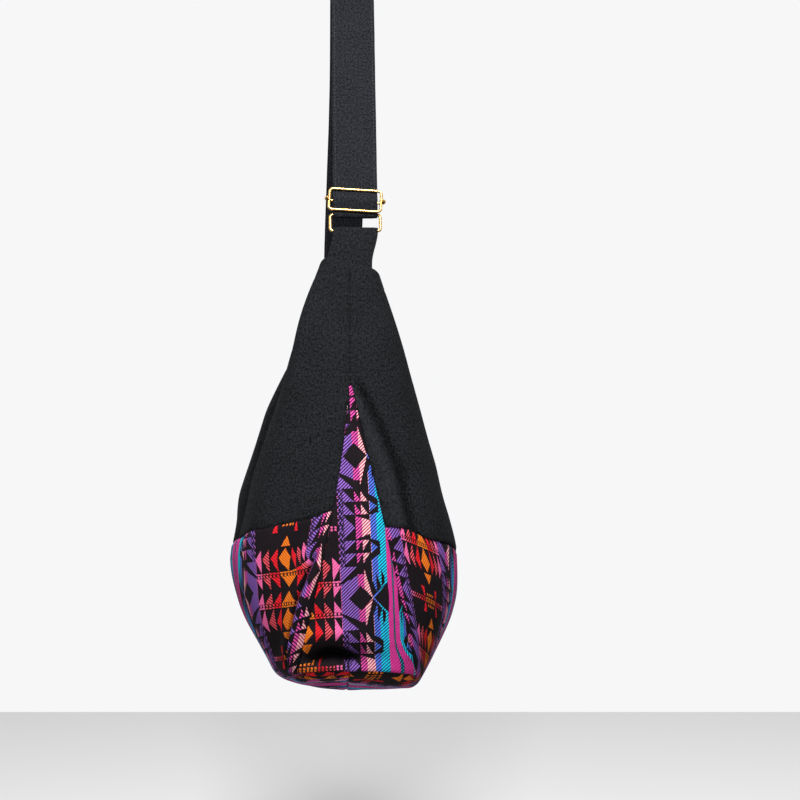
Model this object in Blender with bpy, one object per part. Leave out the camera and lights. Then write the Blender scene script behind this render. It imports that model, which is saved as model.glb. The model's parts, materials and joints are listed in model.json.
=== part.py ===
# Soft crossbody bag hung by its strap: canvas upper panels, woven lower panels and end gussets,
# and a flat strap that runs through a wire slider and round a rectangular wire ring.
#
# Heights are first measured up from the base edge at the bag's ends. The finished model hangs
# from the inside of the strap's top bend, which is the origin. +Z is up, +X points to the end
# that holds the ring, and -Y is the front.

import functools
import math

import bmesh
import bpy

MM = 0.001

# Cloth, gaps and hems
CLOTH = 2.0 * MM
SEAM_GAP = 0.35 * MM
HEM_HEIGHT = 14 * MM
HEM_EXTRA = 1.2 * MM

# Bag outline: height at the ends, half length, half width, and how square its plan is
# along the bag and across it
OUTLINE = [
    (340 * MM, 172 * MM, 27 * MM, 18.0, 4.0),
    (262 * MM, 181 * MM, 56 * MM, 9.0, 3.0),
    (180 * MM, 190 * MM, 83 * MM, 6.0, 2.6),
    (118 * MM, 196 * MM, 100 * MM, 5.0, 2.4),
    (70 * MM, 193 * MM, 93 * MM, 5.5, 2.5),
    (30 * MM, 185 * MM, 76 * MM, 7.0, 2.8),
    (0 * MM, 176 * MM, 62 * MM, 8.0, 3.2),
]
MOUTH_DIP = 62 * MM
BASE_SAG = 36 * MM
BASE_BELLY = 7 * MM
BASE_TILT = 6 * MM
SAG_START = 0.05
BAND_HEIGHT = 130 * MM
GUSSET_HEIGHT = 238 * MM
GUSSET_FRONT_HALF = 45 * MM
GUSSET_BACK_HALF = 57 * MM
GUSSET_FRONT_BOW = 1.45
GUSSET_BACK_BOW = 1.0
APEX_HALF = 1.2 * MM
APEX_LEAD = 2 * MM
BODY_SHIFT = 5.2 * MM

# Strap and hardware
STRAP_WIDTH = 38 * MM
STRAP_THICK = 1.6 * MM
WIRE = 1.25 * MM
FIT_GAP = 0.3 * MM
RING_SIDE_GAP = 1 * MM
RING_HEIGHT = 18 * MM
RING_CORNER = 4 * MM
SLIDER_SIDE_GAP = 1.75 * MM
SLIDER_HEIGHT = 22.5 * MM
SLIDER_CORNER = 4.5 * MM
SLIDER_CLEAR = 1.5 * MM
PEG_RADIUS = 9 * MM
HANG_HEIGHT = 712 * MM
TAB_TOP = 369 * MM
TAB_LEAN = 12 * MM
TUCK = 20 * MM
FAR_BEND = 14 * MM
FLAP_DROP = 7 * MM
FAR_RISE = 220 * MM

# Facets
PANEL_COLUMNS = 34
APEX_STEPS = 5
BAND_STEPS = 6
BASE_STEPS = 6
UNDER_STEPS = 4
QUARTER_STEPS = 24
CORNER_SHARE = 0.85
NORMAL_STEP = 0.03

# Soft folds: turn and drop at both ends of the fold's line, half width as a turn, and height,
# which is negative for a valley. A turn of 0 is the ring end, 1 the front, 2 the sewn end.
FOLDS = [
    (0.17, 0.02, 0.33, 0.62, 0.06, 5.0 * MM),
    (0.27, 0.10, 0.47, 0.66, 0.07, -5.0 * MM),
    (0.75, 0.20, 0.85, 0.56, 0.32, 13.0 * MM),
    (1.12, 0.08, 1.20, 0.60, 0.08, -4.0 * MM),
    (0.08, 0.62, 0.24, 0.97, 0.045, 4.5 * MM),
    (0.15, 0.64, 0.34, 0.98, 0.05, -5.0 * MM),
    (1.50, 0.06, 1.40, 0.64, 0.09, -5.0 * MM),
    (1.80, 0.60, 1.60, 0.97, 0.05, -4.0 * MM),
    (-0.16, 0.44, -0.28, 0.66, 0.05, -2.5 * MM),
    (-0.55, 0.05, -0.70, 0.58, 0.30, -5.0 * MM),
    (-1.05, 0.05, -1.00, 0.80, 0.10, -4.5 * MM),
    (-1.45, 0.08, -1.35, 0.66, 0.12, 3.5 * MM),
    (-0.16, 0.70, -0.34, 0.98, 0.05, -3.0 * MM),
    (-1.82, 0.60, -1.60, 0.96, 0.05, -3.5 * MM),
    (0.70, 0.62, 0.72, 0.90, 0.35, 3.5 * MM),
    (-0.70, 0.50, -0.72, 0.72, 0.35, -3.5 * MM),
]

RING_WIDTH = STRAP_WIDTH + 2 * (RING_SIDE_GAP + 2 * WIRE)
SLIDER_WIDTH = STRAP_WIDTH + 2 * (SLIDER_SIDE_GAP + 2 * WIRE)
WIRE_TO_STRAP = WIRE + FIT_GAP + STRAP_THICK / 2
LAYER = STRAP_THICK + SEAM_GAP
TOP_HEIGHT = OUTLINE[0][0]
GAP_DROP = SEAM_GAP / TOP_HEIGHT
APEX_DROP = 1 - GUSSET_HEIGHT / TOP_HEIGHT
BAND_DROP = 1 - BAND_HEIGHT / TOP_HEIGHT


def remove_everything():
    for obj in list(bpy.data.objects):
        bpy.data.objects.remove(obj, do_unlink=True)


def smooth_step(value):
    value = min(max(value, 0.0), 1.0)
    return value * value * (3 - 2 * value)


def outline_at(drop):
    """Half length, half width and the two squarenesses, at a drop of 0 (mouth) to 1 (base)."""
    height = TOP_HEIGHT * (1 - drop)
    heights = [row[0] for row in OUTLINE]
    k = 0
    while k < len(heights) - 2 and height < heights[k + 1]:
        k += 1
    span = heights[k + 1] - heights[k]
    t = (height - heights[k]) / span
    values = []
    for column in range(1, 5):
        before = OUTLINE[max(k - 1, 0)]
        here, there = OUTLINE[k], OUTLINE[k + 1]
        after = OUTLINE[min(k + 2, len(OUTLINE) - 1)]
        slope_here = (there[column] - before[column]) / (there[0] - before[0]) * span
        slope_there = (after[column] - here[column]) / (after[0] - here[0]) * span
        values.append(
            (2 * t**3 - 3 * t**2 + 1) * here[column]
            + (t**3 - 2 * t**2 + t) * slope_here
            + (3 * t**2 - 2 * t**3) * there[column]
            + (t**3 - t**2) * slope_there
        )
    return values


@functools.lru_cache(maxsize=None)
def quarter(drop, depth):
    """A quarter of the plan outline as (share of its length, x, y), from the end's middle
    to the side's middle, depth metres in from the outer face."""
    half_length, half_width, along_power, across_power = outline_at(drop)
    half_length, half_width = half_length - depth, half_width - depth
    points = []
    for k in range(QUARTER_STEPS):
        y = CORNER_SHARE * k / QUARTER_STEPS
        points.append((half_length * (1 - y**across_power) ** (1 / along_power), half_width * y))
    corner_x = (1 - CORNER_SHARE**across_power) ** (1 / along_power)
    for k in range(QUARTER_STEPS + 1):
        x = corner_x * (1 - k / QUARTER_STEPS)
        points.append((half_length * x, half_width * (1 - x**along_power) ** (1 / across_power)))
    lengths = [0.0]
    for (x0, y0), (x1, y1) in zip(points, points[1:]):
        lengths.append(lengths[-1] + math.hypot(x1 - x0, y1 - y0))
    return [(length / lengths[-1], x, y) for length, (x, y) in zip(lengths, points)]


def on_quarter(share, drop, depth):
    """The outline's x and y at a share of its quarter."""
    row = quarter(drop, depth)
    share = min(max(share, 0.0), 1.0)
    k = 0
    while k < len(row) - 2 and share > row[k + 1][0]:
        k += 1
    t = (share - row[k][0]) / (row[k + 1][0] - row[k][0])
    return row[k][1] + t * (row[k + 1][1] - row[k][1]), row[k][2] + t * (row[k + 1][2] - row[k][2])


def fold_height(turn, drop):
    """How far the cloth stands out of the plain outline, in metres."""
    total = 0.0
    for start, top, end, bottom, half_width, height in FOLDS:
        along = (drop - top) / (bottom - top)
        centre = start + (end - start) * min(max(along, 0.0), 1.0)
        off = ((turn - centre + 2) % 4 - 2) / half_width
        fade = smooth_step((along + 0.25) / 0.5) * smooth_step((1.25 - along) / 0.5)
        total += height * math.exp(-off * off) * fade
    return total * (1 - smooth_step((drop - 0.92) / 0.08))


def sag_at(drop, share):
    """How far the cloth hangs below its ends, at a share of the way to the bag's middle."""
    deepest = BASE_SAG + (MOUTH_DIP - BASE_SAG) * (1 - drop) ** 2.5
    return deepest * smooth_step((share - SAG_START) / (1 - SAG_START))


def skin(turn, drop, depth=0.0):
    """A point of the bag's side, depth metres in from its outer face."""
    side = -1 if turn < 0 else 1
    end = 1 if abs(turn) <= 1 else -1
    share = abs(turn) if end > 0 else 2 - abs(turn)
    x, y = on_quarter(share, drop, depth)
    x0, y0 = on_quarter(share - NORMAL_STEP, drop, depth)
    x1, y1 = on_quarter(share + NORMAL_STEP, drop, depth)
    run = math.hypot(x1 - x0, y1 - y0)
    out = fold_height(turn, drop) / run
    x, y = x + out * (y1 - y0), y + out * (x0 - x1)
    z = TOP_HEIGHT * (1 - drop) - sag_at(drop, share)
    z += side * BASE_TILT * (y / OUTLINE[-1][2]) * smooth_step(share) * smooth_step((drop - 0.4) / 0.6)
    return end * x, -side * y, z + depth * smooth_step((drop - 0.9) / 0.1)


def turn_at_width(width, drop):
    """The turn from the end's middle at which the outline is width metres off the centre."""
    row = quarter(drop, 0.0)
    k = 0
    while k < len(row) - 2 and width > row[k + 1][2]:
        k += 1
    t = (width - row[k][2]) / (row[k + 1][2] - row[k][2])
    return row[k][0] + t * (row[k + 1][0] - row[k][0])


def wall_at_width(width, drop, depth):
    """The end wall's x where it is width metres off the centre."""
    row = quarter(drop, depth)
    k = 0
    while k < len(row) - 2 and width > row[k + 1][2]:
        k += 1
    return row[k + 1][1]


def gusset_turn(side, drop):
    """Turn of a gusset's front or back seam at this drop, or 0 above the gusset's point."""
    full_half, bow = GUSSET_BACK_HALF, GUSSET_BACK_BOW
    if side > 0:
        full_half, bow = GUSSET_FRONT_HALF, GUSSET_FRONT_BOW
    share = (drop - APEX_DROP) / (1 - APEX_DROP)
    if share < -1e-9:
        return 0.0
    share = max(share, 0.0)
    return turn_at_width(APEX_HALF + (full_half - APEX_HALF) * share**bow, drop)


def panel_start(side, drop):
    """Turn at which a panel begins, half a seam gap off the end's middle or a gap off the gusset."""
    turn = gusset_turn(side, drop)
    width = on_quarter(turn, drop, 0.0)[1] + SEAM_GAP if turn else SEAM_GAP / 2
    return turn_at_width(width, drop)


def base_point(side, along, inward, depth):
    """A point of the base: side 1 is the front, along runs ring end to sewn end, and
    inward runs from the base edge to the bottom seam."""
    corner = gusset_turn(side, 1.0)
    edge = skin(side * (corner + (2 - 2 * corner) * along), 1.0, depth)
    ring_edge = skin(side * corner * (1 - inward), 1.0, depth)
    sewn_edge = skin(side * (2 - corner * (1 - inward)), 1.0, depth)
    ring_middle, sewn_middle = skin(0.0, 1.0, depth), skin(2.0, 1.0, depth)
    line_x = ring_middle[0] + (sewn_middle[0] - ring_middle[0]) * along
    line = (line_x, 0.0, ring_middle[2] - sag_at(1.0, 1 - abs(2 * along - 1)))
    ring_corner = skin(side * corner, 1.0, depth)
    sewn_corner = skin(side * (2 - corner), 1.0, depth)
    point = []
    for k in range(3):
        across = (1 - inward) * edge[k] + inward * line[k]
        length = (1 - along) * ring_edge[k] + along * sewn_edge[k]
        corners = (1 - inward) * ((1 - along) * ring_corner[k] + along * sewn_corner[k])
        corners += inward * ((1 - along) * ring_middle[k] + along * sewn_middle[k])
        point.append(across + length - corners)
    point[2] -= BASE_BELLY * math.sin(math.pi * along) * smooth_step(inward * 1.4)
    return tuple(point)


def hang(point):
    """From the bag's own plan and heights above its base edge to the finished frame, where the
    strap's plane is y = 0 and the bag hangs a little to the front of it."""
    return point[0], point[1] - BODY_SHIFT, point[2] - HANG_HEIGHT


def hang_band(x, y, z):
    """A band's point in the finished frame: it leaves the bag at the bag's own middle line and
    comes to the strap's plane at the ring, or at the far end more slowly."""
    rise = TAB_TOP - TOP_HEIGHT if x > 0 else FAR_RISE
    follow = smooth_step((z - TOP_HEIGHT) / rise)
    return x, y - (1 - follow) * BODY_SHIFT, z - HANG_HEIGHT


def new_material(name, colour, roughness, metallic=0.0):
    material = bpy.data.materials.new(name)
    material.use_nodes = True
    shader = material.node_tree.nodes["Principled BSDF"]
    shader.inputs["Base Color"].default_value = (*colour, 1.0)
    shader.inputs["Roughness"].default_value = roughness
    shader.inputs["Metallic"].default_value = metallic
    material.diffuse_color = (*colour, 1.0)
    return material


def add_object(name, mesh, material, collection, smooth_angle=40):
    mesh.materials.append(material)
    mesh.shade_smooth()
    mesh.set_sharp_from_angle(angle=math.radians(smooth_angle))
    obj = bpy.data.objects.new(name, mesh)
    collection.objects.link(obj)
    return obj


def sheet(name, outer, inner, material, collection):
    """A closed sheet of cloth between two grids of points of the same size."""
    rows, columns = len(outer), len(outer[0])
    bm = bmesh.new()
    faces = [[[bm.verts.new(hang(p)) for p in row] for row in grid] for grid in (outer, inner)]
    for side, grid in enumerate(faces):
        for i in range(rows - 1):
            for j in range(columns - 1):
                quad = [grid[i][j], grid[i][j + 1], grid[i + 1][j + 1], grid[i + 1][j]]
                bm.faces.new(quad if side == 0 else quad[::-1])
    border = [(0, j) for j in range(columns)] + [(i, columns - 1) for i in range(1, rows)]
    border += [(rows - 1, j) for j in range(columns - 2, -1, -1)]
    border += [(i, 0) for i in range(rows - 2, 0, -1)]
    top, under = faces
    for k, (i, j) in enumerate(border):
        m, n = border[(k + 1) % len(border)]
        bm.faces.new([top[m][n], top[i][j], under[i][j], under[m][n]])
    bmesh.ops.recalc_face_normals(bm, faces=bm.faces)
    mesh = bpy.data.meshes.new(name)
    bm.to_mesh(mesh)
    bm.free()
    return add_object(name, mesh, material, collection)


def steps(first, last, count):
    """count + 1 even steps from first to last."""
    return [first + (last - first) * k / count for k in range(count + 1)]


def upper_panel(side):
    """Canvas from the mouth to the band, from end seam to end seam."""
    drops = steps(0.0, APEX_DROP - APEX_LEAD / TOP_HEIGHT, APEX_STEPS)
    drops += steps(APEX_DROP, BAND_DROP - GAP_DROP / 2, BAND_STEPS)
    outer, inner = [], []
    for drop in drops:
        start = panel_start(side, drop)
        turns = [side * turn for turn in steps(start, 2 - start, PANEL_COLUMNS)]
        hem = smooth_step((HEM_HEIGHT - TOP_HEIGHT * drop) / HEM_HEIGHT * 2)
        outer.append([skin(turn, drop) for turn in turns])
        inner.append([skin(turn, drop, CLOTH + HEM_EXTRA * hem) for turn in turns])
    return outer, inner


def lower_panel(side):
    """Woven cloth from the band, round the base edge and under to the bottom seam."""
    base_gap = SEAM_GAP / OUTLINE[-1][1]
    inwards = steps(0.0, 1 - SEAM_GAP / 2 / OUTLINE[-1][2], UNDER_STEPS)[1:]
    alongs = steps(base_gap, 1 - base_gap, PANEL_COLUMNS)
    grids = []
    for depth in (0.0, CLOTH):
        grid = []
        for drop in steps(BAND_DROP + GAP_DROP / 2, 1.0, BASE_STEPS):
            start = panel_start(side, drop)
            grid.append([skin(side * turn, drop, depth) for turn in steps(start, 2 - start, PANEL_COLUMNS)])
        grid += [[base_point(side, along, inward, depth) for along in alongs] for inward in inwards]
        grids.append(grid)
    return grids


def gusset(end):
    """Woven triangle let into an end: end 1 holds the ring, end -1 the sewn strap end."""
    drops = steps(APEX_DROP, BAND_DROP, BAND_STEPS)
    drops[0] += GAP_DROP
    drops += steps(BAND_DROP, 1.0, BASE_STEPS)[1:]
    drops[-1] -= GAP_DROP
    grids = []
    for depth in (0.0, CLOTH):
        grid = []
        for drop in drops:
            front = gusset_turn(1, drop)
            back = gusset_turn(-1, drop)
            turns = steps(front, 0.0, UNDER_STEPS) + steps(0.0, -back, UNDER_STEPS)[1:]
            if end < 0:
                turns = [2 - turn if turn >= 0 else -2 - turn for turn in turns]
            grid.append([skin(turn, drop, depth) for turn in turns])
        grids.append(grid)
    return grids


def turned(vector, angle):
    return (
        vector[0] * math.cos(angle) - vector[1] * math.sin(angle),
        vector[0] * math.sin(angle) + vector[1] * math.cos(angle),
    )


def band_path(stops, arc_step):
    """Centre line of a band that runs round circles: each stop is (x, z, radius, way), and way
    is 1 where the band turns left about it and -1 where it turns right."""
    touches = []
    for (x0, z0, r0, way0), (x1, z1, r1, way1) in zip(stops, stops[1:]):
        gap = (x1 - x0, z1 - z0)
        length = math.hypot(*gap)
        left = turned((gap[0] / length, gap[1] / length), math.acos((way1 * r1 - way0 * r0) / length))
        touches.append((
            (x0 - way0 * r0 * left[0], z0 - way0 * r0 * left[1]),
            (x1 - way1 * r1 * left[0], z1 - way1 * r1 * left[1]),
        ))
    path = [touches[0][0]]
    for (x, z, radius, way), arrive, leave in zip(stops[1:-1], touches, touches[1:]):
        a0 = math.atan2(arrive[1][1] - z, arrive[1][0] - x)
        a1 = math.atan2(leave[0][1] - z, leave[0][0] - x)
        sweep = (a1 - a0) * way % (2 * math.pi)
        steps = max(2, math.ceil(sweep / arc_step))
        for k in range(steps + 1):
            angle = a0 + way * sweep * k / steps
            path.append((x + radius * math.cos(angle), z + radius * math.sin(angle)))
    path.append(touches[-1][1])
    return path


def band_solid(name, path, material, collection):
    """A flat band of the strap's width and thickness whose centre line is path, in the X-Z plane."""
    left, right = [], []
    for k, (x, z) in enumerate(path):
        before, after = path[max(k - 1, 0)], path[min(k + 1, len(path) - 1)]
        run = (after[0] - before[0], after[1] - before[1])
        length = math.hypot(*run)
        side = (-run[1] / length * STRAP_THICK / 2, run[0] / length * STRAP_THICK / 2)
        left.append((x + side[0], z + side[1]))
        right.append((x - side[0], z - side[1]))
    bm = bmesh.new()
    rails = []
    for rail, y in ((left, -1), (left, 1), (right, 1), (right, -1)):
        rails.append([bm.verts.new(hang_band(x, y * STRAP_WIDTH / 2, z)) for x, z in rail])
    for k in range(len(path) - 1):
        for m in range(4):
            a, b = rails[m], rails[(m + 1) % 4]
            bm.faces.new([a[k], b[k], b[k + 1], a[k + 1]])
    bm.faces.new([rail[0] for rail in rails][::-1])
    bm.faces.new([rail[-1] for rail in rails])
    bmesh.ops.recalc_face_normals(bm, faces=bm.faces)
    mesh = bpy.data.meshes.new(name)
    bm.to_mesh(mesh)
    bm.free()
    return add_object(name, mesh, material, collection, smooth_angle=50)


def wire_object(name, points, cyclic, parent, material, collection):
    """Round wire through points of the parent's own frame."""
    curve = bpy.data.curves.new(name, "CURVE")
    curve.dimensions = "3D"
    curve.bevel_depth = WIRE
    curve.bevel_resolution = 2
    curve.use_fill_caps = not cyclic
    spline = curve.splines.new("POLY")
    spline.points.add(len(points) - 1)
    for point, place in zip(spline.points, points):
        point.co = (*place, 1.0)
    spline.use_cyclic_u = cyclic
    curve.materials.append(material)
    obj = bpy.data.objects.new(name, curve)
    obj.parent = parent
    collection.objects.link(obj)
    return obj


def rounded_loop(width, height, corner):
    """Wire centre line of a rectangle of these outer sizes, in the Y-Z plane, about its middle."""
    half_w, half_h, radius = width / 2 - WIRE, height / 2 - WIRE, corner - WIRE
    points = []
    for quarter, (sy, sz) in enumerate(((1, 1), (-1, 1), (-1, -1), (1, -1))):
        for k in range(5):
            angle = math.radians(90 * quarter + 22.5 * k)
            y = sy * (half_w - radius) + radius * math.cos(angle)
            points.append((0.0, y, sz * (half_h - radius) + radius * math.sin(angle)))
    return points


def slider_bar_points(half_span, reach):
    """Bar that passes behind the frame's short sides and hooks round them to the front."""
    points = []
    for k in range(9):
        angle = math.radians(75 - 165 * k / 8)
        points.append((reach * math.sin(angle), -half_span - reach * math.cos(angle), 0.0))
    return points + [(x, -y, z) for x, y, z in reversed(points)]


def build():
    remove_everything()
    parts = bpy.data.collections.new("crossbody_bag")
    bpy.context.scene.collection.children.link(parts)
    canvas = new_material("black_canvas", (0.016, 0.016, 0.018), 0.9)
    brass = new_material("brass_wire", (0.72, 0.52, 0.24), 0.28, 1.0)

    for name, side in (("front", 1), ("back", -1)):
        outer, inner = upper_panel(side)
        colour = (0.018, 0.018, 0.02)
        material = new_material(name + "_canvas", colour, 0.9)
        sheet(name + "_upper_panel", outer, inner, material, parts)
        outer, inner = lower_panel(side)
        material = new_material(name + "_woven_cloth", (0.22, 0.07, 0.2), 0.85)
        sheet(name + "_lower_panel", outer, inner, material, parts)
    for name, end in (("ring_end_gusset", 1), ("sewn_end_gusset", -1)):
        outer, inner = gusset(end)
        sheet(name, outer, inner, new_material(name + "_cloth", (0.3, 0.1, 0.35), 0.85), parts)

    # The tab's two layers stand just inside the end wall, and its loop holds the ring
    tuck_height = TOP_HEIGHT - TUCK
    wall = wall_at_width(STRAP_WIDTH / 2, 0.0, CLOTH + HEM_EXTRA)
    tuck_x = wall - FIT_GAP - STRAP_THICK - LAYER / 2
    ring_x = tuck_x - TAB_LEAN
    tab_path = band_path(
        [
            (tuck_x - LAYER / 2, tuck_height, 0.0, 1),
            (ring_x, TAB_TOP, WIRE_TO_STRAP, -1),
            (tuck_x + LAYER / 2, tuck_height, 0.0, 1),
        ],
        math.radians(20),
    )
    band_solid("ring_tab", tab_path, canvas, parts)

    # The ring hangs in line with the strap, which leans in towards the peg
    peg_height = HANG_HEIGHT - PEG_RADIUS
    lean = math.atan2(ring_x - PEG_RADIUS, peg_height - TAB_TOP)
    ring_hinge = bpy.data.objects.new("ring_hinge", None)
    ring_hinge.location = (ring_x, 0.0, TAB_TOP - HANG_HEIGHT)
    ring_hinge.rotation_euler = (0.0, -lean, 0.0)
    parts.objects.link(ring_hinge)

    ring_rise = RING_HEIGHT - 2 * WIRE
    loop = rounded_loop(RING_WIDTH, RING_HEIGHT, RING_CORNER)
    wire_object("ring", [(x, y, z + ring_rise / 2) for x, y, z in loop], True, ring_hinge, brass, parts)

    slider_place = bpy.data.objects.new("slider_place", None)
    slider_out = 2 * WIRE_TO_STRAP
    bar_rise = SLIDER_HEIGHT / 2 - WIRE
    slider_rise = ring_rise + SLIDER_CLEAR + bar_rise
    slider_place.location = (slider_out, 0.0, slider_rise)
    slider_place.parent = ring_hinge
    parts.objects.link(slider_place)
    loop = rounded_loop(SLIDER_WIDTH, SLIDER_HEIGHT, SLIDER_CORNER)
    wire_object("slider_frame", loop, True, slider_place, new_material("slider_brass", (0.74, 0.54, 0.26), 0.26, 1.0), parts)
    bar_back = 2 * WIRE + FIT_GAP
    bar = slider_bar_points(SLIDER_WIDTH / 2 - WIRE, bar_back)
    wire_object("slider_bar", bar, False, slider_place, new_material("bar_brass", (0.7, 0.5, 0.23), 0.3, 1.0), parts)

    def near(out, rise):
        """A place given out from the strap's line and up along it, as x and height."""
        x = ring_x + out * math.cos(lean) - rise * math.sin(lean)
        return x, TAB_TOP + out * math.sin(lean) + rise * math.cos(lean)

    bar_out = slider_out - bar_back
    far_x = -(wall - FIT_GAP - STRAP_THICK / 2)
    stops = [
        (*near(bar_out - 1.1 * MM, slider_rise - FLAP_DROP), 0.0, 1),
        (*near(bar_out, slider_rise), WIRE_TO_STRAP, 1),
        (*near(0.0, ring_rise), WIRE_TO_STRAP, 1),
        (*near(slider_out, slider_rise - bar_rise), WIRE_TO_STRAP, -1),
        (*near(bar_out, slider_rise), WIRE_TO_STRAP + LAYER, 1),
        (*near(slider_out, slider_rise + bar_rise), WIRE_TO_STRAP, -1),
        (0.0, peg_height, PEG_RADIUS + STRAP_THICK / 2, 1),
        (far_x + FAR_BEND, TOP_HEIGHT + 6 * MM, FAR_BEND, 1),
        (far_x, tuck_height, 0.0, 1),
    ]
    strap_cloth = new_material("strap_cotton", (0.02, 0.02, 0.022), 0.85)
    band_solid("strap", band_path(stops, math.radians(18)), strap_cloth, parts)


build()
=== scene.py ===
# Looks of a soft crossbody bag that hangs by its strap: canvas over striped woven cloth, cotton
# strap, brass wire slider and ring.
import json
import math

import bmesh
import bpy
import numpy as np
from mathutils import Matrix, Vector, noise

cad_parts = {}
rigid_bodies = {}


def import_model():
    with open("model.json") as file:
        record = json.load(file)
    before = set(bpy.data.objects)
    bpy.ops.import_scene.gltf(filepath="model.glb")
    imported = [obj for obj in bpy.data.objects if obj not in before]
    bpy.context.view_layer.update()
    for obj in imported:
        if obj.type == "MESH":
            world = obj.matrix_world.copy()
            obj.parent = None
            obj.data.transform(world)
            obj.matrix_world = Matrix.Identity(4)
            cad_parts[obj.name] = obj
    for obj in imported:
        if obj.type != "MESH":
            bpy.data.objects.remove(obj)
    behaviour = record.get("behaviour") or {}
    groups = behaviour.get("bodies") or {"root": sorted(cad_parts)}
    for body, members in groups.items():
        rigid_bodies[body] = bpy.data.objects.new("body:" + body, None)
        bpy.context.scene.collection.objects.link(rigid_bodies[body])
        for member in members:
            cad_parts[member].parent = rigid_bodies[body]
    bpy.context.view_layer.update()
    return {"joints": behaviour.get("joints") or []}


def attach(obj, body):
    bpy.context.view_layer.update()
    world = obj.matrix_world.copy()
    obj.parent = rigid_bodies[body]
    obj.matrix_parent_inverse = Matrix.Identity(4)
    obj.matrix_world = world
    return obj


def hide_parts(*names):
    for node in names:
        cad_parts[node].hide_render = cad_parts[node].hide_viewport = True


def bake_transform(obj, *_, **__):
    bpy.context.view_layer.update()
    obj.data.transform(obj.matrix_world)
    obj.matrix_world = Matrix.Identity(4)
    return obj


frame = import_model()

MM = 0.001

# Sizes of the bag, as its construction has them. Heights are measured up from the base edge at
# the bag's ends until hang() moves them under the strap.
CLOTH = 2.0 * MM
SEAM_GAP = 0.35 * MM
HEM_HEIGHT = 14 * MM
HEM_EXTRA = 1.2 * MM
# Height, half length, half width and two squarenesses, from the mouth to the base edge
OUTLINE = np.array([
    (340, 172, 27, 18.0, 4.0),
    (262, 181, 56, 9.0, 3.0),
    (180, 190, 83, 6.0, 2.6),
    (118, 196, 100, 5.0, 2.4),
    (70, 193, 93, 5.5, 2.5),
    (30, 185, 76, 7.0, 2.8),
    (0, 176, 62, 8.0, 3.2),
]) * (MM, MM, MM, 1, 1)
MOUTH_DIP = 62 * MM
BASE_SAG = 36 * MM
BASE_BELLY = 7 * MM
BASE_TILT = 6 * MM
SAG_START = 0.05
BAND_HEIGHT = 130 * MM
GUSSET_HEIGHT = 238 * MM
GUSSET_FRONT_HALF = 45 * MM
GUSSET_BACK_HALF = 57 * MM
GUSSET_FRONT_BOW = 1.45
GUSSET_BACK_BOW = 1.0
APEX_HALF = 1.2 * MM
BODY_SHIFT = 5.2 * MM
STRAP_WIDTH = 38 * MM
STRAP_THICK = 1.6 * MM
WIRE = 1.25 * MM
FIT_GAP = 0.3 * MM
RING_SIDE_GAP = 1 * MM
RING_HEIGHT = 18 * MM
RING_CORNER = 4 * MM
SLIDER_SIDE_GAP = 1.75 * MM
SLIDER_HEIGHT = 22.5 * MM
SLIDER_CORNER = 4.5 * MM
SLIDER_CLEAR = 1.5 * MM
PEG_RADIUS = 9 * MM
HANG_HEIGHT = 712 * MM
TAB_TOP = 369 * MM
TUCK = 20 * MM
FAR_BEND = 14 * MM
FAR_BEND_RISE = 6 * MM
FAR_RISE = 220 * MM
FLAP_DROP = 7 * MM
FLAP_LEAN = 1.1 * MM
QUARTER_STEPS = 120
CORNER_SHARE = 0.85
NORMAL_STEP = 0.03

# Large soft folds: turn and drop at both ends of the fold's line, half width as a turn, and
# height in millimetres
FOLDS = [
    (0.17, 0.02, 0.33, 0.62, 0.06, 5.0),
    (0.27, 0.10, 0.47, 0.66, 0.07, -5.0),
    (0.75, 0.20, 0.85, 0.56, 0.32, 13.0),
    (1.12, 0.08, 1.20, 0.60, 0.08, -4.0),
    (0.08, 0.62, 0.24, 0.97, 0.045, 4.5),
    (0.15, 0.64, 0.34, 0.98, 0.05, -5.0),
    (1.50, 0.06, 1.40, 0.64, 0.09, -5.0),
    (1.80, 0.60, 1.60, 0.97, 0.05, -4.0),
    (-0.16, 0.44, -0.28, 0.66, 0.05, -2.5),
    (-0.55, 0.05, -0.70, 0.58, 0.30, -5.0),
    (-1.05, 0.05, -1.00, 0.80, 0.10, -4.5),
    (-1.45, 0.08, -1.35, 0.66, 0.12, 3.5),
    (-0.16, 0.70, -0.34, 0.98, 0.05, -3.0),
    (-1.82, 0.60, -1.60, 0.96, 0.05, -3.5),
    (0.70, 0.62, 0.72, 0.90, 0.35, 3.5),
    (-0.70, 0.50, -0.72, 0.72, 0.35, -3.5),
]
# Sharper creases of the canvas, given in the same way
CREASES = [
    (0.350, 0.14, 0.355, 0.28, 0.030, 2.0),
    (0.355, 0.28, 0.445, 0.47, 0.032, 2.5),
    (0.445, 0.47, 0.490, 0.66, 0.034, 2.0),
    (0.410, 0.14, 0.425, 0.28, 0.040, -4.5),
    (0.425, 0.28, 0.515, 0.47, 0.044, -5.5),
    (0.515, 0.47, 0.560, 0.66, 0.044, -4.0),
    (0.185, 0.445, 0.045, 0.405, 0.012, -1.6),
    (-0.035, 0.30, -0.175, 0.50, 0.018, -3.6),
    (-0.175, 0.50, -0.215, 0.66, 0.022, -3.6),
    (-0.010, 0.32, -0.125, 0.52, 0.030, 2.4),
    (-0.125, 0.52, -0.160, 0.66, 0.032, 2.4),
]

WIRE_TO_STRAP = WIRE + FIT_GAP + STRAP_THICK / 2
LAYER = STRAP_THICK + SEAM_GAP
RING_WIDTH = STRAP_WIDTH + 2 * (RING_SIDE_GAP + 2 * WIRE)
SLIDER_WIDTH = STRAP_WIDTH + 2 * (SLIDER_SIDE_GAP + 2 * WIRE)
TOP_HEIGHT = OUTLINE[0][0]
GAP_DROP = SEAM_GAP / TOP_HEIGHT
APEX_DROP = 1 - GUSSET_HEIGHT / TOP_HEIGHT
BAND_DROP = 1 - BAND_HEIGHT / TOP_HEIGHT

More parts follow.
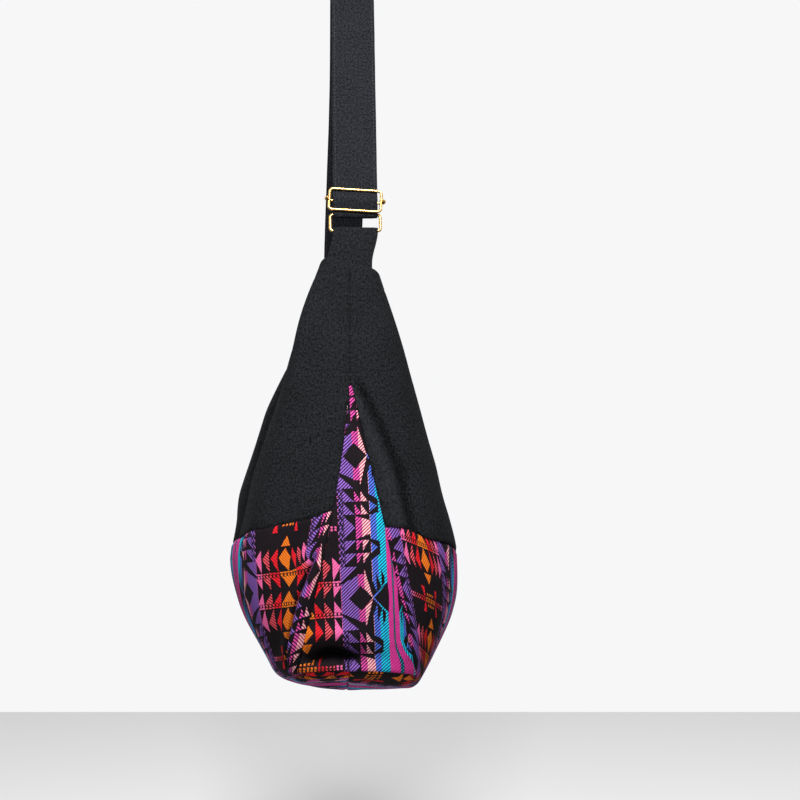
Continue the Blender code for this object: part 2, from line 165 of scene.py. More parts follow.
# Where the weave's figures lie: the cloth's repeat runs across from the gusset's middle, and its
# rows are counted from this height above the base edge.
GUSSET_ACROSS = 38.5 * MM
GUSSET_SLANT = 0.045
GUSSET_SPREAD = 1.3
GUSSET_SPREAD_FROM = 69.5 * MM
SEAM_ACROSS = -57 * MM
STRIP_SQUEEZE = 1.6
FRONT_ACROSS = -53 * MM
FRONT_FIGURE = 72 * MM
PULLED_UNDER = 44 * MM
STRIP_FIGURE = 87 * MM
BACK_SEAM_ACROSS = -50 * MM
BACK_SQUEEZE = 1.6
BACK_SQUEEZED = 60 * MM
BACK_FIGURE = 132.5 * MM
FIGURE_HEIGHT = 63 * MM

# A deep crease in the front cloth beside the gusset: height above the base edge, and distance
# from the gusset's seam
CREASE = np.array([(0, 13), (30, 15), (63, 14), (90, 8), (112, 2)]) * MM


def smooth_step(value):
    value = np.clip(value, 0.0, 1.0)
    return value * value * (3 - 2 * value)


def bell(value):
    return np.exp(-(value**2))


def outline_at(drop):
    """Half length, half width and the two squarenesses of the plan outline at a drop."""
    height = TOP_HEIGHT * (1 - drop)
    heights = OUTLINE[:, 0]
    k = 0
    while k < len(heights) - 2 and height < heights[k + 1]:
        k += 1
    here, there = OUTLINE[k], OUTLINE[k + 1]
    before, after = OUTLINE[max(k - 1, 0)], OUTLINE[min(k + 2, len(OUTLINE) - 1)]
    span = there[0] - here[0]
    t = (height - here[0]) / span
    slope_here = (there - before) / (there[0] - before[0]) * span
    slope_there = (after - here) / (after[0] - here[0]) * span
    row = (2 * t**3 - 3 * t**2 + 1) * here + (t**3 - 2 * t**2 + t) * slope_here
    row = row + (3 * t**2 - 2 * t**3) * there + (t**3 - t**2) * slope_there
    return row[1:]


def quarter(drop, depth=0.0):
    """A quarter of the plan outline, from the end's middle to the side's middle: distances
    along it, x and y."""
    half_length, half_width, along_power, across_power = outline_at(drop)
    y = CORNER_SHARE * np.arange(QUARTER_STEPS) / QUARTER_STEPS
    corner_x = (1 - CORNER_SHARE**across_power) ** (1 / along_power)
    x = corner_x * (1 - np.arange(QUARTER_STEPS + 1) / QUARTER_STEPS)
    xs = np.concatenate([(1 - y**across_power) ** (1 / along_power), x]) * (half_length - depth)
    ys = np.concatenate([y, (1 - x**along_power) ** (1 / across_power)]) * (half_width - depth)
    run = np.hypot(np.diff(xs), np.diff(ys))
    return np.concatenate([[0.0], np.cumsum(run)]), xs, ys


def fold_height(turns, drop):
    total = np.zeros_like(turns)
    for start, top, end, bottom, half_width, height in FOLDS:
        along = (drop - top) / (bottom - top)
        centre = start + (end - start) * min(max(along, 0.0), 1.0)
        off = ((turns - centre + 2) % 4 - 2) / half_width
        fade = smooth_step((along + 0.25) / 0.5) * smooth_step((1.25 - along) / 0.5)
        total += height * MM * np.exp(-off * off) * fade
    return total * (1 - smooth_step((drop - 0.92) / 0.08))


def crease_height(turns, drops):
    """The sharper creases, where turns and drops are grids."""
    total = np.zeros_like(turns)
    for start, top, end, bottom, half_width, height in CREASES:
        along = (drops - top) / (bottom - top)
        off = (turns - start - (end - start) * np.clip(along, 0.0, 1.0)) / half_width
        fade = smooth_step((along + 0.12) / 0.24) * smooth_step((1.12 - along) / 0.24)
        total += height * MM * np.exp(-off * off) * fade
    return total


def sag_at(drop, share):
    deepest = BASE_SAG + (MOUTH_DIP - BASE_SAG) * (1 - drop) ** 2.5
    return deepest * smooth_step((share - SAG_START) / (1 - SAG_START))


def skin(turns, drop, depth=0.0, relief=0.0):
    """Points of the bag's side at turns from the ring end (0) by the front (1) or the back (-1)
    to the sewn end (2 or -2), at a drop from mouth (0) to base edge (1). Relief stands out."""
    side = np.where(turns < 0, -1, 1)
    end = np.where(np.abs(turns) <= 1, 1, -1)
    share = np.where(np.abs(turns) <= 1, np.abs(turns), 2 - np.abs(turns))
    along, xs, ys = quarter(drop, depth)
    length = along[-1]

    def at(part):
        place = np.clip(part, 0, 1) * length
        return np.interp(place, along, xs), np.interp(place, along, ys)

    x, y = at(share)
    x0, y0 = at(share - NORMAL_STEP)
    x1, y1 = at(share + NORMAL_STEP)
    out = (fold_height(turns, drop) + relief) / np.hypot(x1 - x0, y1 - y0)
    x, y = x + out * (y1 - y0), y + out * (x0 - x1)
    z = TOP_HEIGHT * (1 - drop) - sag_at(drop, share)
    tilt = smooth_step(share) * smooth_step((drop - 0.4) / 0.6)
    z = z + side * BASE_TILT * (y / OUTLINE[-1][2]) * tilt
    z = z + depth * smooth_step((drop - 0.9) / 0.1)
    return np.stack([end * x, -side * y, z], -1)


def turn_at_width(width, drop):
    along, _, ys = quarter(drop)
    return float(np.interp(width, ys, along)) / along[-1]


def gusset_turn(side, drop):
    """Turn of a gusset's front (1) or back (-1) seam, or 0 above the gusset's point."""
    full_half, bow = GUSSET_BACK_HALF, GUSSET_BACK_BOW
    if side > 0:
        full_half, bow = GUSSET_FRONT_HALF, GUSSET_FRONT_BOW
    share = (drop - APEX_DROP) / (1 - APEX_DROP)
    if share < -1e-9:
        return 0.0
    return turn_at_width(APEX_HALF + (full_half - APEX_HALF) * max(share, 0.0) ** bow, drop)


def panel_start(side, drop):
    turn = gusset_turn(side, drop)
    along, _, ys = quarter(drop)
    width = np.interp(turn * along[-1], along, ys) + SEAM_GAP if turn else SEAM_GAP / 2
    return turn_at_width(width, drop)


def hang(points):
    return points - np.array([0.0, BODY_SHIFT, HANG_HEIGHT])


def crowded(first, last, count, crowd=0.85):
    """count + 1 places from first to last, closest together at both ends."""
    t = np.arange(count + 1) / count
    t = t - crowd * np.sin(2 * math.pi * t) / (2 * math.pi)
    return first + (last - first) * t


def lumps(across, up, size, seed, stretch=1.0):
    """Smooth noise from about -1 to 1 with lumps of this size, longer upwards by stretch."""
    rows = zip((across / size).ravel(), (up / size / stretch).ravel())
    return np.array([noise.noise((a, b, seed)) for a, b in rows]).reshape(np.shape(across))


def seam_relief(off, along, seed, depth=0.9 * MM, reach=1.5 * MM):
    """Cloth beside a seam: it dips into the seam and gathers in small waves along it."""
    dip = -depth * bell(off / reach)
    wave = np.sin(2 * math.pi * along / (11 * MM) + 3 * lumps(along, off * 0, 0.03, seed))
    gather = 0.35 * MM * wave * np.exp(-off / (9 * MM)) * (1 - bell(off / (2 * MM)))
    return dip + gather


def cloth_relief(across, up, seed):
    """Slack and small creases of hanging cloth."""
    slack = 1.5 * MM * lumps(across, up, 0.055, seed, stretch=2.2)
    crease = 0.5 * MM * lumps(across, up, 0.018, seed + 7.3, stretch=2.5)
    return slack + crease


def cloth_mesh(name, points, faces, cloth):
    """A smooth mesh that faces outwards. The cloth's own coordinates, in metres across and up, are kept for
    its pattern, and the depth of its folds for the shade and light painted into its colour."""
    mesh = bpy.data.meshes.new(name)
    mesh.from_pydata(points.reshape(-1, 3).tolist(), [], faces)
    place = mesh.attributes.new("cloth", "FLOAT_VECTOR", "POINT")
    place.data.foreach_set("vector", cloth.astype(np.float32).ravel())
    bm = bmesh.new()
    bm.from_mesh(mesh)
    if bm.calc_volume(signed=True) < 0:
        bmesh.ops.reverse_faces(bm, faces=bm.faces)
    bm.to_mesh(mesh)
    bm.free()
    mesh.shade_smooth()
    return mesh


def grid_mesh(name, outer, inner, cloth):
    """A closed sheet of cloth between two grids of points, each rows x columns x 3."""
    rows, columns = outer.shape[:2]
    count = rows * columns
    index = np.arange(count).reshape(rows, columns)
    corners = (index[:-1, :-1], index[:-1, 1:], index[1:, 1:], index[1:, :-1])
    quads = np.stack(corners, -1).reshape(-1, 4)
    border = np.concatenate([index[0], index[1:, -1], index[-1, -2::-1], index[-2:0:-1, 0]])
    after = np.roll(border, -1)
    rim = np.stack([after, border, border + count, after + count], -1)
    faces = np.concatenate([quads, quads[:, ::-1] + count, rim]).tolist()
    return cloth_mesh(name, hang(np.concatenate([outer, inner])), faces, np.concatenate([cloth, cloth]))


def add_piece(name, mesh, material, slot, body, *nodes):
    mesh.materials.append(material)
    piece = bpy.data.objects.new(name, mesh)
    bpy.context.scene.collection.objects.link(piece)
    if body:
        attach(piece, body)
    if nodes:
        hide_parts(*nodes)
    return piece


# Cloth panels
COLUMNS = 250
UPPER_ROWS = 120
LOWER_ROWS = 84
BASE_ROWS = 36
GUSSET_COLUMNS = 70
TABLE_DROPS = np.linspace(0.0, 1.0, 341)
END_BULGE = 11 * MM
END_BULGE_REACH = 18 * MM


def panel_row(side, drop, t):
    """Turns of a panel's row, the distances along it from the end's middle, and to its seams."""
    start = panel_start(side, drop)
    turns = start + (2 - 2 * start) * t
    length = quarter(drop)[0][-1]
    return turns, turns * length, np.minimum(turns - start, 2 - start - turns) * length


FRONT_BAND_START = -8.5 * MM
FRONT_BAND_DIP = 9.5 * MM
FRONT_BAND_SLOPE = 7 * MM
BACK_BAND_START = 7 * MM
BACK_BAND_DIP = 6.5 * MM


def band_fall(side, off):
    """How far the seam between canvas and woven cloth lies below its level, at a distance
    from the gusset's seam."""
    if side > 0:
        near_end = FRONT_BAND_DIP * (1 - np.exp(-off / (12 * MM)))
        return FRONT_BAND_START + near_end + FRONT_BAND_SLOPE * (1 - np.exp(-off / (90 * MM)))
    return BACK_BAND_START + BACK_BAND_DIP * smooth_step((off - 12 * MM) / (30 * MM))


def panel_table(side, t):
    """The panel's skin at closely spaced drops: points, outward directions, distances from the
    end's middle and from the seams."""
    points, outs, acrosses, offs = [], [], [], []
    for drop in TABLE_DROPS:
        turns, across, off = panel_row(side, drop, t)
        row = skin(side * turns, drop)
        points.append(row)
        outs.append(skin(side * turns, drop, 0.0, 1.0) - row)
        acrosses.append(across)
        offs.append(off)
    return np.array(points), np.array(outs), np.array(acrosses), np.array(offs)


def at_drops(table, drops):
    """Rows of a table at drops that may differ from column to column."""
    shape = drops.shape + table.shape[2:]
    picked = np.empty(shape)
    for column in range(drops.shape[1]):
        values = table[:, column].reshape(len(TABLE_DROPS), -1)
        for part in range(values.shape[1]):
            picked.reshape(drops.shape + (-1,))[:, column, part] = np.interp(
                drops[:, column], TABLE_DROPS, values[:, part]
            )
    return picked


# How far the rim's shoulder at the ring end is pulled up and back, at the front and at the back
SHOULDER_PULL = {1: (8 * MM, 6 * MM), -1: (-4 * MM, -2 * MM)}
SHOULDER_DEEP = 70 * MM


def pull_shoulder(points, side):
    """The rim at the ring end is pulled up and in at the front, and down at the back."""
    x, y, z = points[..., 0], points[..., 1], points[..., 2]
    high = smooth_step((z - TOP_HEIGHT + SHOULDER_DEEP) / SHOULDER_DEEP)
    fade = smooth_step((x - 120 * MM) / (50 * MM)) * high
    reach = np.abs(y) / OUTLINE[0][2]
    up, inwards = SHOULDER_PULL[side]
    points[..., 2] += up * reach * fade
    points[..., 1] += inwards * reach * fade**2
    return points


def start_panel(side):
    """Places along a panel's rows, its tables, and the fall of the band's seam as a drop."""
    t = crowded(0.0, 1.0, COLUMNS)
    tables = panel_table(side, t)
    band_off = tables[3][round(BAND_DROP * (len(TABLE_DROPS) - 1))]
    return t, tables, band_fall(side, band_off) / TOP_HEIGHT


def upper_panel(side, seed):
    """Canvas from the rolled hem at the mouth down to the band."""
    t, tables, fall = start_panel(side)
    last = BAND_DROP - GAP_DROP / 2 + fall
    drops = crowded(0.0, 1.0, UPPER_ROWS)[:, None] * last[None, :]
    points, outs, across, off = (at_drops(table, drops) for table in tables)
    up = TOP_HEIGHT * (1 - drops)
    top_off = TOP_HEIGHT * drops
    relief = cloth_relief(across, up, seed)
    relief *= smooth_step(off / (40 * MM)) * smooth_step(top_off / (50 * MM) + 0.3)
    lengths = np.array([quarter(drop)[0][-1] for drop in TABLE_DROPS])
    creases = crease_height(side * across / np.interp(drops, TABLE_DROPS, lengths), drops)
    relief += creases
    if side < 0:
        relief += 0.6 * MM * (1 - smooth_step((off - 5 * MM) / (1.5 * MM)))
    seams = seam_relief(off, up, seed) + seam_relief(TOP_HEIGHT * (last - drops), across, seed + 2)
    hem_line = -0.35 * MM * bell((top_off - HEM_HEIGHT) / (1.4 * MM))
    roll = (CLOTH + HEM_EXTRA) / 2
    rolled = roll - np.sqrt(roll**2 - (roll - np.minimum(top_off, roll)) ** 2)
    hem = smooth_step((HEM_HEIGHT - top_off) / HEM_HEIGHT * 2)
    outer = points + (relief + seams + hem_line - rolled)[..., None] * outs
    inner = points + (relief - CLOTH - HEM_EXTRA * hem + rolled)[..., None] * outs
    # The creases' depth and their ridges' height go with the cloth's coordinates, for the canvas's painted
    # shade and painted light.
    return pull_shoulder(outer, side), pull_shoulder(inner, side), np.stack([across, up, creases], -1)


def base_rows(side, alongs, inwards, depth):
    """The base from its edge to the bottom seam, and from the ring end to the sewn end."""
    corner = gusset_turn(side, 1.0)
    edge = skin(side * (corner + (2 - 2 * corner) * alongs), 1.0, depth)[None]
    ring_edge = skin(side * corner * (1 - inwards), 1.0, depth)[:, None]
    sewn_edge = skin(side * (2 - corner * (1 - inwards)), 1.0, depth)[:, None]
    middles = skin(np.array([0.0, 2.0]), 1.0, depth)
    corners = skin(side * np.array([corner, 2 - corner]), 1.0, depth)
    a, i = alongs[None, :, None], inwards[:, None, None]
    line = (1 - a) * middles[0] + a * middles[1]
    line[..., 2] = middles[0][2] - sag_at(1.0, 1 - np.abs(2 * alongs - 1))
    between = (1 - i) * ((1 - a) * corners[0] + a * corners[1]) + i * ((1 - a) * middles[0] + a * middles[1])
    points = (1 - i) * edge + i * line + (1 - a) * ring_edge + a * sewn_edge - between
    points[..., 2] -= BASE_BELLY * np.sin(math.pi * alongs) * smooth_step(inwards[:, None] * 1.4)
    return points


def soften(grid, weight, times):
    """Rounds a fold that runs along a grid's rows, where weight is above 0."""
    for _ in range(times):
        middle = (grid[:-2] + grid[2:]) / 2
        grid[1:-1] += (middle - grid[1:-1]) * weight[1:-1, :, None]
    return grid


def panel_cloth(side, across, off, up):
    """Where a place of the woven panel lies in the weave's repeat, across and up. The weave is
    shifted sideways under the base, to bring its colours where the photograph has them."""
    middle = off.shape[-1] // 2
    off = np.concatenate([off[..., :middle], 2 * off[..., middle:middle + 1] - off[..., middle:]], -1)
    pulled = PULLED_UNDER * smooth_step(-up / (15 * MM)) * np.exp(-off / (70 * MM))
    if side < 0:
        squeezed = BACK_SEAM_ACROSS + off + (BACK_SQUEEZE - 1) * np.minimum(off, BACK_SQUEEZED)
        squeezed += pulled
        return squeezed, up - BACK_FIGURE + 24 * MM * (1 - np.exp(-off / (65 * MM)))
    crease = np.interp(up, CREASE[:, 0], CREASE[:, 1])
    beyond = FRONT_ACROSS + across
    strip = np.minimum(SEAM_ACROSS + STRIP_SQUEEZE * off, beyond)
    share = smooth_step((off - crease) / (1.5 * MM) + 0.5) * (1 - smooth_step((up - 85 * MM) / (20 * MM)))
    share_up = np.maximum(share, smooth_step(off / (28 * MM)))
    level = FRONT_FIGURE + 5 * MM * np.exp(-off / (12 * MM))
    return strip + (beyond - strip) * share + pulled, up - level - (STRIP_FIGURE - level) * (1 - share_up)


def crease_relief(off, up):
    """The deep crease with the puffed strip beside it, on the front cloth at the ring end."""
    beside = off - np.interp(up, CREASE[:, 0], CREASE[:, 1])
    fade = smooth_step(up / (14 * MM)) * smooth_step((CREASE[-1, 0] - up) / (30 * MM))
    groove = -4.5 * MM * bell(beside / (2.4 * MM))
    puff = 2.6 * MM * bell((beside + 7 * MM) / (5 * MM))
    hollow = -2.5 * MM * np.exp(-np.abs(beside) / (12 * MM)) * (beside > 0)
    return (groove + puff + hollow) * fade


def lower_panel(side, seed):
    """Woven cloth from the band, round the base edge and under to the bottom seam."""
    t, tables, fall = start_panel(side)
    first = BAND_DROP + GAP_DROP / 2 + fall
    steps = crowded(0.0, 1.0, LOWER_ROWS, 0.6)[:, None]
    drops = first[None, :] + (1 - first[None, :]) * steps
    points, outs, across, off = (at_drops(table, drops) for table in tables)
    up = TOP_HEIGHT * (1 - drops)
    relief = cloth_relief(across, up, seed) * smooth_step(off / (30 * MM))
    folds = crease_relief(off, up) * (t < 0.5) * (side > 0)
    relief += folds
    seams = seam_relief(off, up, seed) + seam_relief(TOP_HEIGHT * (drops - first), across, seed + 2)
    outer = points + (relief + seams)[..., None] * outs
    inner = points + (relief - CLOTH)[..., None] * outs
    inner[..., 2] += CLOTH * smooth_step((drops - 0.9) / 0.1)
    # The crease's depth goes with the cloth's coordinates, for shade that the weave paints darker in the
    # crease.
    cloth = np.stack([*panel_cloth(side, across, off, up), folds], -1)
    base_half = OUTLINE[-1][2]
    base_gap = SEAM_GAP / OUTLINE[-1][1]
    inwards = np.linspace(0.0, 1 - SEAM_GAP / 2 / base_half, BASE_ROWS + 1)[1:]
    alongs = base_gap + (1 - 2 * base_gap) * t
    edge_across, edge_off = across[-1], off[-1]
    from_end = np.minimum(alongs, 1 - alongs) * 2 * OUTLINE[-1][1]
    bulge = END_BULGE * (1 - np.exp(-from_end / END_BULGE_REACH)) * (1 - smooth_step(from_end / (150 * MM)))
    lower, lower_inner, lower_cloth = [], [], []
    under, under_inner = (base_rows(side, alongs, inwards, depth) for depth in (0.0, CLOTH))
    for inward, row, inner_row in zip(inwards, under, under_inner):
        down = np.full_like(edge_across, inward * base_half)
        relief = cloth_relief(edge_across, -down, seed) * smooth_step(edge_off / (30 * MM))
        relief += bulge * smooth_step(inward * 2.5)
        dips = seam_relief((1 - inward) * base_half + 0 * edge_off, edge_across, seed + 4)
        row[:, 2] -= relief + dips + seam_relief(edge_off, down, seed)
        inner_row[:, 2] -= relief
        lower.append(row)
        lower_inner.append(inner_row)
        lower_cloth.append(np.stack([*panel_cloth(side, edge_across, edge_off, -down), 0 * down], -1))
    outer, inner = np.concatenate([outer, lower]), np.concatenate([inner, lower_inner])
    reach = np.concatenate([up, inwards[:, None] * base_half + 0 * edge_across])
    weight = bell(reach / (9 * MM)) * smooth_step(edge_off / (28 * MM))
    return soften(outer, weight, 60), soften(inner, weight, 60), np.concatenate([cloth, lower_cloth])


def pucker(place, up):
    """The dent at the foot of the ring end's gusset, with a lip above it."""
    fold = 12 * MM + 5 * MM * bell((place + 16 * MM) / (13 * MM))
    dent = -17 * MM * np.exp(-(((place + 15 * MM) / (20 * MM)) ** 4) - ((up - fold) / (5.5 * MM)) ** 2)
    dent -= 4.0 * MM * np.exp(-(((place + 5 * MM) / (34 * MM)) ** 4) - ((up - 14 * MM) / (8 * MM)) ** 2)
    lip = 4.0 * MM * np.exp(-(((place + 14 * MM) / (20 * MM)) ** 2) - ((up - 32 * MM) / (8 * MM)) ** 2)
    return dent + lip


def gusset(end, seed):
    """Woven triangle let into an end of the bag."""
    t = crowded(0.0, 1.0, GUSSET_COLUMNS, 0.8)
    outer, inner, cloth = [], [], []
    drops = crowded(APEX_DROP + GAP_DROP, 1 - GAP_DROP, UPPER_ROWS, 0.6)
    for drop in drops:
        front, back = gusset_turn(1, drop), gusset_turn(-1, drop)
        turns = front - (front + back) * t
        length = quarter(drop)[0][-1]
        off = np.minimum(t, 1 - t) * (front + back) * length
        if end < 0:
            turns = np.where(turns >= 0, 2 - turns, -2 - turns)
        up = np.full_like(turns, TOP_HEIGHT * (1 - drop))
        place = skin(turns, drop)[:, 1]
        relief = 0.6 * cloth_relief(place, up, seed) * smooth_step(off / (18 * MM))
        folds = pucker(place, up) if end > 0 else 0.0 * place
        relief += folds
        seams = seam_relief(off, up, seed) + seam_relief(up, place, seed + 2)
        outer.append(skin(turns, drop, 0.0, relief + seams))
        inner.append(skin(turns, drop, CLOTH, relief))
        above = up - FIGURE_HEIGHT
        across = GUSSET_ACROSS + place + GUSSET_SLANT * above
        spread = GUSSET_SPREAD * np.maximum(0.0, across - GUSSET_SPREAD_FROM)
        across = across + spread * smooth_step((up - 8 * MM) / (25 * MM))
        # The dent's depth goes with the cloth's coordinates, for shade that the weave paints darker in the
        # dent.
        cloth.append(np.stack([across, above - GUSSET_SLANT * place, folds], -1))
    return np.array(outer), np.array(inner), np.array(cloth)


# Strap, tab and hardware. Places near the ring are given out from the strap's line and up along it.
def wall_x(depth):
    along, xs, ys = quarter(0.0, depth)
    return float(np.interp(STRAP_WIDTH / 2, ys, xs))


TUCK_HEIGHT = TOP_HEIGHT - TUCK
HINGE = next(joint for joint in frame["joints"] if joint["name"] == "ring_swing")["pos_m"]
UP = next(joint for joint in frame["joints"] if joint["name"] == "slider_slide")["axis"]
RING_X = HINGE[0]
LEAN = math.atan2(-UP[0], UP[2])
RING_RISE = RING_HEIGHT - 2 * WIRE
SLIDER_OUT = 2 * WIRE_TO_STRAP
BAR_RISE = SLIDER_HEIGHT / 2 - WIRE
SLIDER_RISE = RING_RISE + SLIDER_CLEAR + BAR_RISE
BAR_OUT = SLIDER_OUT - 2 * WIRE - FIT_GAP


def near(out, rise):
    """x and height above the base edge of a place beside the ring."""
    x = RING_X + out * math.cos(LEAN) - rise * math.sin(LEAN)
    return x, TAB_TOP + out * math.sin(LEAN) + rise * math.cos(LEAN)


def near_point(out, y, rise):
    x, z = near(out, rise)
    return Vector((x, y, z - HANG_HEIGHT))


def rise_of(x, z):
    return -(x - RING_X) * math.sin(LEAN) + (z - TAB_TOP) * math.cos(LEAN)


def band_path(stops, arc_step):
    """Centre line of a band that runs round circles: each stop is x, z, radius, and 1 where the
    band turns left about it or -1 where it turns right."""
    touches = []
    for (x0, z0, r0, way0), (x1, z1, r1, way1) in zip(stops, stops[1:]):
        gap = complex(x1 - x0, z1 - z0)
        turn = math.acos((way1 * r1 - way0 * r0) / abs(gap))
        left = gap / abs(gap) * complex(math.cos(turn), math.sin(turn))
        touches.append((complex(x0, z0) - way0 * r0 * left, complex(x1, z1) - way1 * r1 * left))
    path = [touches[0][0]]
    for (x, z, radius, way), arrive, leave in zip(stops[1:-1], touches, touches[1:]):
        centre = complex(x, z)
        first, last = arrive[1] - centre, leave[0] - centre
        sweep = (math.atan2(last.imag, last.real) - math.atan2(first.imag, first.real)) * way % (2 * math.pi)
        count = max(2, math.ceil(sweep / arc_step))
        for k in range(count + 1):
            turn = way * sweep * k / count
            path.append(centre + first * complex(math.cos(turn), math.sin(turn)))
    path.append(touches[-1][1])
    return [(p.real, p.imag) for p in path]


def filled(path, longest):
    """The same line with no step longer than this."""
    points = [path[0]]
    for (x0, z0), (x1, z1) in zip(path, path[1:]):
        count = max(1, math.ceil(math.hypot(x1 - x0, z1 - z0) / longest))
        points += [(x0 + (x1 - x0) * k / count, z0 + (z1 - z0) * k / count) for k in range(1, count + 1)]
    return points


def band_place(path):
    """Centres, left directions and lengths along a band's path, as arrays."""
    line = np.array(path)
    run = np.gradient(line, axis=0)
    run /= np.linalg.norm(run, axis=1)[:, None]
    step = np.linalg.norm(np.diff(line, axis=0), axis=1)
    return line, np.stack([-run[:, 1], run[:, 0]], -1), np.concatenate([[0.0], np.cumsum(step)])


def hang_band(x, y, z):
    rise = np.where(x > 0, TAB_TOP - TOP_HEIGHT, FAR_RISE)
    follow = smooth_step((z - TOP_HEIGHT) / rise)
    return np.stack([x, y - (1 - follow) * BODY_SHIFT, z - HANG_HEIGHT], -1)


STITCH_IN = 2.3 * MM


def section(width, thickness):
    """Half of a folded cotton band's section is repeated for its other face: y and height."""
    half = width / 2
    y = half * np.sin(np.linspace(-math.pi / 2, math.pi / 2, 33))
    height = thickness / 2 * (1 - np.abs(y / half) ** 14) ** 0.5
    height -= 0.14 * MM * np.exp(-(((half - np.abs(y)) - STITCH_IN) / (0.6 * MM)) ** 2)
    return np.concatenate([y, y[-2:0:-1]]), np.concatenate([height, -height[-2:0:-1]])


def band_mesh(name, path, width=STRAP_WIDTH, thickness=STRAP_THICK, tilt=0.0, seed=1.0):
    """A cotton band along a path, with small waves. Tilt slopes it across, as its slider does."""
    line, left, along = band_place(filled(path, 4 * MM))
    y, height = section(width, thickness)
    wave = 0.25 * MM * lumps(along[:, None] + 0 * y, y[None, :] + 0 * along[:, None], 0.02, seed)
    bow = height[None, :] + wave
    x = line[:, :1] + left[:, :1] * bow
    z = line[:, 1:] + left[:, 1:] * bow
    edge = 0.3 * MM * lumps(along, along * 0, 0.03, seed + 4)
    across = np.broadcast_to(y, x.shape) * (1 + edge[:, None] / width)
    shift = -math.tan(tilt) * across
    points = hang_band(x - shift * math.sin(LEAN), across, z + shift * math.cos(LEAN))
    rows, columns = x.shape
    index = np.arange(rows * columns).reshape(rows, columns)
    beside = np.roll(index, -1, axis=1)
    faces = np.stack([index[:-1], beside[:-1], beside[1:], index[1:]], -1).reshape(-1, 4).tolist()
    faces += [index[0].tolist()[::-1], index[-1].tolist()]
    cloth = np.stack([across, np.broadcast_to(along[:, None], x.shape), 0 * x], -1)
    mesh = cloth_mesh(name, points, faces, cloth)
    mesh.set_sharp_from_angle(angle=math.radians(60))
    return mesh


STITCH_LONG = 2.5 * MM
STITCH_PITCH = 3.3 * MM
THREAD = 0.24 * MM


def stitches_mesh(name, places):
    """Short thread stitches: each place is its middle, its direction and the way it stands out."""
    bm = bmesh.new()
    rings = ((-0.5, 0.0), (-0.42, 0.8), (0.0, 1.0), (0.42, 0.8), (0.5, 0.0))
    for middle, along, out in places:
        side = along.cross(out)
        rows = []
        for share, fat in rings:
            centre = middle + along * STITCH_LONG * share
            if fat == 0:
                rows.append([bm.verts.new(centre)])
                continue
            turns = [2 * math.pi * k / 6 for k in range(6)]
            spots = [centre + (side * math.cos(a) + out * math.sin(a)) * THREAD * fat for a in turns]
            rows.append([bm.verts.new(spot) for spot in spots])
        for one, two in zip(rows, rows[1:]):
            for k in range(6):
                m = (k + 1) % 6
                corners = [one[k % len(one)], one[m % len(one)], two[m % len(two)], two[k % len(two)]]
                bm.faces.new(list(dict.fromkeys(corners)))
    bmesh.ops.recalc_face_normals(bm, faces=bm.faces)
    mesh = bpy.data.meshes.new(name)
    bm.to_mesh(mesh)
    bm.free()
    mesh.shade_smooth()
    return mesh


def band_stitches(path, width=STRAP_WIDTH):
    """Stitch places along both edges and on both faces of a band."""
    line, left, along = band_place(filled(path, 1 * MM))
    places = []
    for distance in np.arange(STITCH_PITCH / 2, along[-1], STITCH_PITCH):
        x, z, out_x, out_z = (np.interp(distance, along, column) for column in (*line.T, *left.T))
        out = Vector((out_x, 0.0, out_z)).normalized()
        direction = Vector((-out.z, 0.0, out.x))
        for y in (STITCH_IN - width / 2, width / 2 - STITCH_IN):
            for face in (-1, 1):
                lift = face * (STRAP_THICK / 2 - 0.5 * THREAD)
                point = hang_band(x + out.x * lift, y, z + out.z * lift)
                places.append((Vector(point), direction, out * face))
    return places


def wire_mesh(name, points, cyclic):
    """Round wire through points in the finished frame."""
    curve = bpy.data.curves.new(name + "_line", "CURVE")
    curve.dimensions = "3D"
    curve.bevel_depth = WIRE
    curve.bevel_resolution = 5
    curve.use_fill_caps = not cyclic
    spline = curve.splines.new("POLY")
    spline.points.add(len(points) - 1)
    for spot, point in zip(spline.points, points):
        spot.co = (*point, 1.0)
    spline.use_cyclic_u = cyclic
    holder = bpy.data.objects.new(name + "_line", curve)
    bpy.context.scene.collection.objects.link(holder)
    shape = holder.evaluated_get(bpy.context.evaluated_depsgraph_get())
    mesh = bpy.data.meshes.new_from_object(shape)
    mesh.name = name
    bpy.data.objects.remove(holder, do_unlink=True)
    bm = bmesh.new()
    bm.from_mesh(mesh)
    bmesh.ops.remove_doubles(bm, verts=bm.verts, dist=0.00001)
    bmesh.ops.recalc_face_normals(bm, faces=bm.faces)
    bm.to_mesh(mesh)
    bm.free()
    mesh.shade_smooth()
    return mesh


SLIDER_TILT = math.radians(3.6)


def loop_points(width, height, corner, out, rise, tilt=0.0):
    """A rounded rectangle's wire line, its middle at this place beside the ring."""
    half_w, half_h, radius = width / 2 - WIRE, height / 2 - WIRE, corner - WIRE
    points = []
    for turn, (sy, sz) in enumerate(((1, 1), (-1, 1), (-1, -1), (1, -1))):
        for k in range(11):
            angle = math.radians(90 * turn + 9 * k)
            y = sy * (half_w - radius) + radius * math.cos(angle)
            up = sz * (half_h - radius) + radius * math.sin(angle)
            y, up = y * math.cos(tilt) + up * math.sin(tilt), up * math.cos(tilt) - y * math.sin(tilt)
            points.append(near_point(out, y, rise + up))
    return points


def bar_points(tilt):
    """The slider's middle bar, with ends that hook round the frame's short sides."""
    half_span, reach = SLIDER_WIDTH / 2 - WIRE, 2 * WIRE + FIT_GAP
    hook = []
    for k in range(25):
        angle = math.radians(75 - 165 * k / 24)
        hook.append((reach * math.sin(angle), -half_span - reach * math.cos(angle)))
    line = hook + [(out, -y) for out, y in reversed(hook)]
    lean, fall = math.cos(tilt), math.sin(tilt)
    return [near_point(SLIDER_OUT + out, y * lean, SLIDER_RISE - y * fall) for out, y in line]


